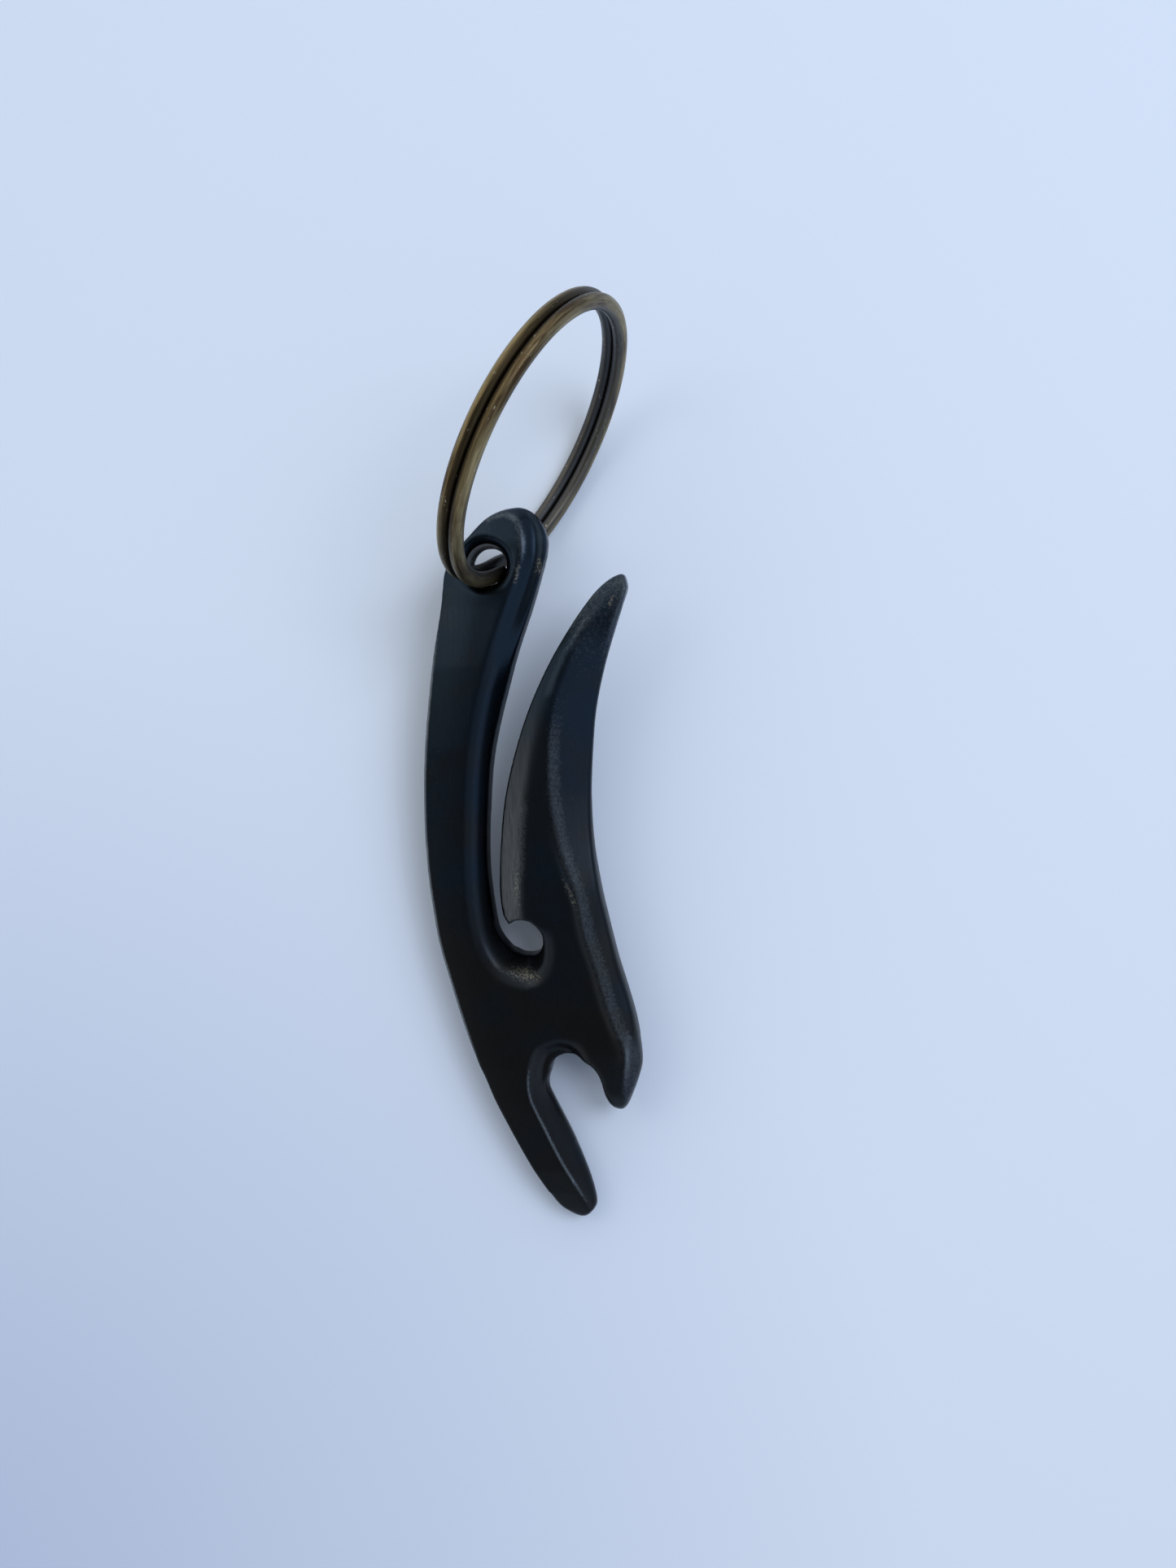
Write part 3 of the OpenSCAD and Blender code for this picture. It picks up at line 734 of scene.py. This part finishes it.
def blackenedBrass(look):
    material, tree = newMaterial("blackenedBrass")
    coords = addNode(tree, "ShaderNodeTexCoord").outputs["Object"]
    edge = addNode(tree, "ShaderNodeAttribute", {"attribute_name": "edge"}).outputs["Fac"]
    rubbedMask = addNode(tree, "ShaderNodeAttribute", {"attribute_name": "rubbed"}).outputs["Fac"]
    scuffMask = addNode(tree, "ShaderNodeAttribute", {"attribute_name": "scuffed"}).outputs["Fac"]
    # patches 6 mm wide in the oxide, grain 0.25 mm in the wear and a cast skin of 0.15 mm
    patches = addNode(tree, "ShaderNodeTexNoise", {"Scale": 1 / (6 * mm), "Detail": 3}, {"Vector": coords})
    grain = addNode(tree, "ShaderNodeTexNoise", {"Scale": 1 / (0.25 * mm), "Detail": 4, "Roughness": 0.6},
                    {"Vector": coords})
    skin = addNode(tree, "ShaderNodeTexNoise", {"Scale": 1 / (0.15 * mm), "Detail": 2}, {"Vector": coords})
    # brushing along the limb, a stroke 0.12 mm wide and 5 mm long
    strokes = addNode(tree, "ShaderNodeMapping", {"Scale": (8, 0.2, 8), "Rotation": (0, 0, 0.12)},
                      {"Vector": coords})
    brushed = addNode(tree, "ShaderNodeTexNoise", {"Scale": 1000, "Detail": 2},
                      {"Vector": strokes.outputs[0]})
    split = addNode(tree, "ShaderNodeSeparateXYZ", links={0: coords})
    # the oxide is thinner towards the eye
    towardEye = addNode(tree, "ShaderNodeMapRange",
                        {"From Min": -35 * mm, "From Max": 20 * mm, "To Min": -0.25, "To Max": 0.3},
                        {"Value": split.outputs["Y"]})
    thinner = addNode(tree, "ShaderNodeMath", {"operation": "ADD"}, {0: patches.outputs["Fac"],
                                                                     1: towardEye.outputs[0]})
    oxide = addNode(tree, "ShaderNodeMapRange", {"From Min": 0.3, "From Max": 0.7},
                    {"Value": thinner.outputs[0]})
    colour = addNode(tree, "ShaderNodeMix", {"data_type": "RGBA", 6: hexColour(look["thickOxide"]),
                                             7: hexColour(look["thinOxide"])}, {0: oxide.outputs[0]})
    # painted reflection: the horn's inner bevel is painted lighter, as if it caught the light from the left, broken up
    # in strokes along it
    bevelSheen = addNode(tree, "ShaderNodeAttribute", {"attribute_name": "bevelSheen"}).outputs["Fac"]
    strokeTone = addNode(tree, "ShaderNodeMapRange",
                         {"From Min": 0.3, "From Max": 0.7, "To Min": 0.35, "To Max": 1.0},
                         {"Value": brushed.outputs["Fac"]})
    bevelSheenTone = addNode(tree, "ShaderNodeMath", {"operation": "MULTIPLY"},
                        {0: bevelSheen, 1: strokeTone.outputs[0]})
    oxideTone = addNode(tree, "ShaderNodeMix", {"data_type": "RGBA", 7: hexColour(look["bevelSheen"])},
                        {0: bevelSheenTone.outputs[0], 6: colour.outputs[2]})
    # painted shade: the bore's wall is painted soot black for the shade that falls inside it
    paintedShade = addNode(tree, "ShaderNodeAttribute", {"attribute_name": "paintedShade"}).outputs["Fac"]
    boreTone = addNode(tree, "ShaderNodeMix", {"data_type": "RGBA", 7: hexColour(look["paintedShade"])},
                       {0: paintedShade, 6: oxideTone.outputs[2]})
    # rubbed places: outer edges most, broken up by the grain
    outer = addNode(tree, "ShaderNodeMapRange", {"From Min": 0.1, "From Max": 0.8}, {"Value": edge})
    anyRub = addNode(tree, "ShaderNodeMapRange", {"To Min": 0.35}, {"Value": outer.outputs[0]})
    outerRub = addNode(tree, "ShaderNodeMath", {"operation": "MULTIPLY"},
                       {0: anyRub.outputs[0], 1: rubbedMask})
    rubBroken = addNode(tree, "ShaderNodeMath", {"operation": "MULTIPLY_ADD", 1: 0.8},
                        {0: grain.outputs["Fac"], 2: outerRub.outputs[0]})
    rubbed = addNode(tree, "ShaderNodeMapRange", {"From Min": 0.5, "From Max": 1.3, "To Max": 0.75},
                     {"Value": rubBroken.outputs[0]})
    graphite = addNode(tree, "ShaderNodeMix", {"data_type": "RGBA", 7: hexColour(look["rubbed"])},
                       {0: rubbed.outputs[0], 6: boreTone.outputs[2]})
    # scuffs: specks of bare metal that thicken towards the middle
    speckBroken = addNode(tree, "ShaderNodeMath", {"operation": "MULTIPLY_ADD", 1: 1.7},
                          {0: grain.outputs["Fac"], 2: scuffMask})
    bare = addNode(tree, "ShaderNodeMapRange", {"From Min": 1.3, "From Max": 2.4},
                   {"Value": speckBroken.outputs[0]})
    worn = addNode(tree, "ShaderNodeMix", {"data_type": "RGBA", 7: hexColour(look["bare"])},
                   {0: bare.outputs[0], 6: graphite.outputs[2]})
    gloss = addNode(tree, "ShaderNodeMath",
                    {"operation": "MULTIPLY_ADD", 1: look["roughBrushed"], 2: look["rough"]},
                    {0: brushed.outputs["Fac"]})
    rough = addNode(tree, "ShaderNodeMath", {"operation": "MULTIPLY_ADD", 1: look["roughPatches"]},
                    {0: patches.outputs["Fac"], 2: gloss.outputs[0]})
    relief = addNode(tree, "ShaderNodeMath", {"operation": "MULTIPLY_ADD", 1: 0.8},
                     {0: brushed.outputs["Fac"], 2: skin.outputs["Fac"]})
    dug = addNode(tree, "ShaderNodeMath", {"operation": "MULTIPLY_ADD", 1: -3.0},
                  {0: bare.outputs[0], 2: relief.outputs[0]})
    bump = addNode(tree, "ShaderNodeBump", {"Strength": 0.35, "Distance": 0.012 * mm},
                   {"Height": dug.outputs[0]})
    shader = addNode(tree, "ShaderNodeBsdfPrincipled", {"Metallic": 1.0},
                     {"Base Color": worn.outputs[2], "Roughness": rough.outputs[0],
                      "Normal": bump.outputs[0]})
    addNode(tree, "ShaderNodeOutputMaterial", links={"Surface": shader.outputs[0]})
    return material


# Antique plating on drawn spring steel: greyish gold left bright by a rag, over olive-brown tarnish that runs
# along the wire in streaks, with a few pale nicks.
platingLook = {
    "tarnish": "#463827",
    "clean": "#958764",
    # painted shade in the groove, and painted shade and reflection on the inside of the ring
    "groove": "#2a2318",
    "inner": "#44484d",
    "nick": "#c9c2ae",
    "roughTarnish": 0.52,
    "roughClean": 0.32,
}


def antiquePlating(look):
    material, tree = newMaterial("antiquePlatedSteel")
    wire = addNode(tree, "ShaderNodeAttribute", {"attribute_name": "wirePlace"}).outputs["Vector"]
    # clouds 7 mm long, streaks 4 mm by 0.2 mm and nicks 0.3 mm across, all in mm along and across the wire
    longer = addNode(tree, "ShaderNodeMapping", {"Scale": (0.14, 0.6, 0.6)}, {"Vector": wire})
    clouds = addNode(tree, "ShaderNodeTexNoise", {"Scale": 1.0, "Detail": 3}, {"Vector": longer.outputs[0]})
    drawn = addNode(tree, "ShaderNodeMapping", {"Scale": (0.25, 5, 5)}, {"Vector": wire})
    streaks = addNode(tree, "ShaderNodeTexNoise", {"Scale": 1.0, "Detail": 4, "Roughness": 0.6},
                      {"Vector": drawn.outputs[0]})
    nickPlace = addNode(tree, "ShaderNodeMapping", {"Scale": (1.6, 3.4, 3.4)}, {"Vector": wire})
    nicks = addNode(tree, "ShaderNodeTexNoise", {"Scale": 1.0, "Detail": 5, "Roughness": 0.75},
                    {"Vector": nickPlace.outputs[0]})
    blend = addNode(tree, "ShaderNodeMath", {"operation": "MULTIPLY_ADD", 1: 0.55},
                    {0: streaks.outputs["Fac"], 2: clouds.outputs["Fac"]})
    clean = addNode(tree, "ShaderNodeMapRange", {"From Min": 0.62, "From Max": 0.93},
                    {"Value": blend.outputs[0]})
    colour = addNode(tree, "ShaderNodeMix", {"data_type": "RGBA", 6: hexColour(look["tarnish"]),
                                             7: hexColour(look["clean"])}, {0: clean.outputs[0]})
    nicked = addNode(tree, "ShaderNodeMapRange", {"From Min": 0.63, "From Max": 0.72},
                     {"Value": nicks.outputs["Fac"]})
    # painted shade: the groove between the turns is painted dark for the shade in it, and the inside of the ring
    # bluish grey for the dark room that it mirrors
    spot = addNode(tree, "ShaderNodeSeparateXYZ", links={0: wire})
    fromGroove = addNode(tree, "ShaderNodeMath", {"operation": "ABSOLUTE"}, {0: spot.outputs["Z"]})
    grooveEdge = addNode(tree, "ShaderNodeMath", {"operation": "MULTIPLY_ADD", 1: -1.0},
                         {0: clouds.outputs["Fac"], 2: fromGroove.outputs[0]})
    groove = addNode(tree, "ShaderNodeMapRange",
                     {"From Min": -0.1, "From Max": 0.42, "To Min": 0.92, "To Max": 0.0},
                     {"Value": grooveEdge.outputs[0]})
    grooved = addNode(tree, "ShaderNodeMix", {"data_type": "RGBA", 7: hexColour(look["groove"])},
                      {0: groove.outputs[0], 6: colour.outputs[2]})
    inner = addNode(tree, "ShaderNodeMapRange", {"From Min": -0.1, "From Max": -0.6, "To Max": 0.75},
                    {"Value": spot.outputs["Y"]})
    paintedShade = addNode(tree, "ShaderNodeMix", {"data_type": "RGBA", 7: hexColour(look["inner"])},
                        {0: inner.outputs[0], 6: grooved.outputs[2]})
    worn = addNode(tree, "ShaderNodeMix", {"data_type": "RGBA", 7: hexColour(look["nick"])},
                   {0: nicked.outputs[0], 6: paintedShade.outputs[2]})
    rough = addNode(tree, "ShaderNodeMapRange",
                    {"To Min": look["roughTarnish"], "To Max": look["roughClean"]},
                    {"Value": streaks.outputs["Fac"]})
    dents = addNode(tree, "ShaderNodeMath", {"operation": "MULTIPLY_ADD", 1: -1.5},
                    {0: nicked.outputs[0], 2: streaks.outputs["Fac"]})
    bump = addNode(tree, "ShaderNodeBump", {"Strength": 0.4, "Distance": 0.02 * mm},
                   {"Height": dents.outputs[0]})
    shader = addNode(tree, "ShaderNodeBsdfPrincipled", {"Metallic": 1.0},
                     {"Base Color": worn.outputs[2], "Roughness": rough.outputs[0],
                      "Normal": bump.outputs[0]})
    addNode(tree, "ShaderNodeOutputMaterial", links={"Surface": shader.outputs[0]})
    return material


opener.data.materials.append(blackenedBrass(brassLook))
ring.data.materials.append(antiquePlating(platingLook))
print("finishes made")

# A pale blue-white table, with painted shade that darkens it a little towards its near left corner, where the light
# falls off
tableLook = {
    "size": 1600,              # mm
    "clearance": 0.02,         # mm under what stands on it
    "light": "#cad6e6",
    "dark": "#aab8d2",
    "shadePlace": (-0.075, -0.095, 0),   # m, where it is darkest, and how far that reaches
    "shadeReach": 0.12,
}


def makeTable(look):
    bm = bmesh.new()
    bmesh.ops.create_grid(bm, x_segments=1, y_segments=1, size=look["size"] / 2 * mm)
    bmesh.ops.translate(bm, vec=(0, 0, -look["clearance"] * mm), verts=bm.verts)
    table = newPiece("table", bm)
    material, tree = newMaterial("palePaper")
    coords = addNode(tree, "ShaderNodeTexCoord")
    # painted shade: the table's colour darkens towards its near left corner
    far = addNode(tree, "ShaderNodeVectorMath", {"operation": "DISTANCE", 1: look["shadePlace"]},
                  {0: coords.outputs["Object"]})
    near = addNode(tree, "ShaderNodeMapRange", {"From Min": 0.0, "From Max": look["shadeReach"]},
                   {"Value": far.outputs["Value"]})
    colour = addNode(tree, "ShaderNodeMix", {"data_type": "RGBA", 6: hexColour(look["dark"]),
                                             7: hexColour(look["light"])}, {0: near.outputs[0]})
    shader = addNode(tree, "ShaderNodeBsdfDiffuse", links={"Color": colour.outputs[2]})
    addNode(tree, "ShaderNodeOutputMaterial", links={"Surface": shader.outputs[0]})
    table.data.materials.append(material)
    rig.stage(table)


makeTable(tableLook)

# Soft studio light: a dim ceiling over the camera with two lighter places, walls that are brighter and warmer
# behind and to the left, and a soft lamp high up and on each side
lightLook = {
    "ceiling": 0.28,
    "coolWall": 0.7,
    "warmWall": 1.3,
    "coolTint": "#ccd8ec",
    "warmTint": "#f1eee8",
    "warmSide": (-0.75, 0.6, 0),     # towards the middle of the warm wall
    "glows": [((0.55, -0.5, 0.67), 0.85), ((-0.1, 0.65, 0.75), 1.1)],   # towards each, and its strength
    "lamps": {            # place in metres, size in metres, watts, colour, whether the metal mirrors it
        "highLamp": ((0.26, 0.20, 0.62), 0.30, 1.35, "#f1f4fc", False),
        "rightLamp": ((0.30, 0.16, 0.42), 0.26, 0.6, "#eef3ff", True),
        "leftLamp": ((-0.30, 0.14, 0.40), 0.20, 0.25, "#fff4e6", True),
    },
}


def makeLight(look):
    world = bpy.data.worlds.new("room")
    scene.world = world
    world.use_nodes = True
    tree = world.node_tree
    tree.nodes.clear()
    way = addNode(tree, "ShaderNodeTexCoord").outputs["Generated"]
    split = addNode(tree, "ShaderNodeSeparateXYZ", links={0: way})
    toLeft = addNode(tree, "ShaderNodeVectorMath", {"operation": "DOT_PRODUCT", 1: look["warmSide"]},
                     {0: way})
    side = addNode(tree, "ShaderNodeMapRange", {"From Min": -0.7, "From Max": 0.8},
                   {"Value": toLeft.outputs["Value"]})
    tint = addNode(tree, "ShaderNodeMix", {"data_type": "RGBA", 6: hexColour(look["coolTint"]),
                                           7: hexColour(look["warmTint"])}, {0: side.outputs[0]})
    wall = addNode(tree, "ShaderNodeMapRange", {"To Min": look["coolWall"], "To Max": look["warmWall"]},
                   {"Value": side.outputs[0]})
    high = addNode(tree, "ShaderNodeMapRange", {"From Min": 0.35, "From Max": 0.8},
                   {"Value": split.outputs["Z"]})
    strength = addNode(tree, "ShaderNodeMix", {3: look["ceiling"]}, {0: high.outputs[0], 2: wall.outputs[0]})
    for toGlow, bright in look["glows"]:
        toward = Vector(toGlow).normalized()
        near = addNode(tree, "ShaderNodeVectorMath", {"operation": "DOT_PRODUCT", 1: toward}, {0: way})
        glow = addNode(tree, "ShaderNodeMapRange", {"From Min": 0.78, "From Max": 0.98, "To Max": bright},
                       {"Value": near.outputs["Value"]})
        strength = addNode(tree, "ShaderNodeMath", {"operation": "ADD"},
                           {0: strength.outputs[0], 1: glow.outputs[0]})
    room = addNode(tree, "ShaderNodeBackground",
                   links={"Color": tint.outputs[2], "Strength": strength.outputs[0]})
    addNode(tree, "ShaderNodeOutputWorld", links={"Surface": room.outputs[0]})
    for name, (place, size, power, colour, mirrored) in look["lamps"].items():
        data = bpy.data.lights.new(name, "AREA")
        data.shape = "SQUARE"
        data.size = size
        data.energy = power
        data.color = hexColour(colour)[:3]
        lamp = bpy.data.objects.new(name, data)
        lamp.location = place
        lamp.rotation_mode = "QUATERNION"
        lamp.rotation_quaternion = (-Vector(place)).to_track_quat("-Z", "Y")
        lamp.visible_glossy = mirrored
        scene.collection.objects.link(lamp)


makeLight(lightLook)
scene.view_settings.view_transform = "Standard"
print("table and light made")

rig.ride(opener, "opener_body")
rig.replaces(opener, "opener_body")
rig.slot(opener, "blackened_brass")
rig.ride(ring, "split_ring")
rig.replaces(ring, "split_ring")
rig.slot(ring, "antique_plated_steel")


def measurePoints():
    # how far to the right of and below its image point each thing shows, in pixels of the points' frame
    corners, faces, start = [], [], 0
    for piece in (opener, ring):
        corners += [v.co.copy() for v in piece.data.vertices]
        faces += [[start + i for i in p.vertices] for p in piece.data.polygons]
        start = len(corners)
    tree = BVHTree.FromPolygons(corners, faces)
    eye = camera.matrix_world.translation
    places = np.array(corners)
    seen = []
    for corner in corners:
        hit = tree.ray_cast(eye, (corner - eye).normalized())[0]
        seen.append(hit is not None and (hit - corner).length < 0.05 * mm)
    seen, image = np.array(seen), toImage(places)
    back = np.array(bodyPlace.inverted())
    flat = (places @ back[:3, :3].T + back[:3, 3]) / mm
    ofBody = seen & (np.arange(len(places)) < len(opener.data.vertices))
    shown = dict(shownAt)
    shown["objectLeft"], shown["objectRight"] = (image[seen, 0].min(), 0), (image[seen, 0].max(), 0)
    shown["objectTop"], shown["objectBottom"] = (0, image[seen, 1].min()), (0, image[seen, 1].max())
    tips = {"eyeTop": (ofBody, -1), "hornTip": (ofBody & (flat[:, 0] > 8) & (flat[:, 1] > -20), -1),
            "hookTip": (ofBody & (flat[:, 0] > 12) & (flat[:, 1] < -52), 1), "prongTip": (ofBody, 1)}
    for name, (among, down) in tips.items():
        height = np.where(among, image[:, 1] * down, -1e9)
        shown[name] = image[height > height.max() - 0.6].mean(0)

    def clearTo(x, y, stepX, stepY):
        # walks over the image from a clear place to where the object starts
        for _ in range(400):
            at, toward = imageRay(x, y)
            if tree.ray_cast(at, toward)[0] is not None:
                break
            x, y = x + stepX, y + stepY
        return x, y

    x, y = imagePoints["slotHole"]
    shown["slotHole"] = ((clearTo(x, y, 0.25, 0)[0] + clearTo(x, y, -0.25, 0)[0]) / 2,
                         (clearTo(x, y, 0, 0.25)[1] + clearTo(x, y, 0, -0.25)[1]) / 2)
    x, y = imagePoints["mouthTop"]
    starts = [(x + k, y + 25) for k in range(-10, 11)]
    shown["mouthTop"] = min((clearTo(*spot, 0, -0.25) for spot in starts), key=lambda spot: spot[1])
    return {name: [None if p is None else round(float(q - p), 1) for q, p in zip(shown[name], point)]
            for name, point in imagePoints.items()}


try:
    json.dump(measurePoints(), open("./points.json", "w"))
    print("points written")
except Exception as fault:
    print("points not written,", fault)

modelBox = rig.bounds()
json.dump({"cad": [list(v) for v in cadBox], "model": [list(v) for v in modelBox]}, open("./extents.json", "w"))
print("sizes written")
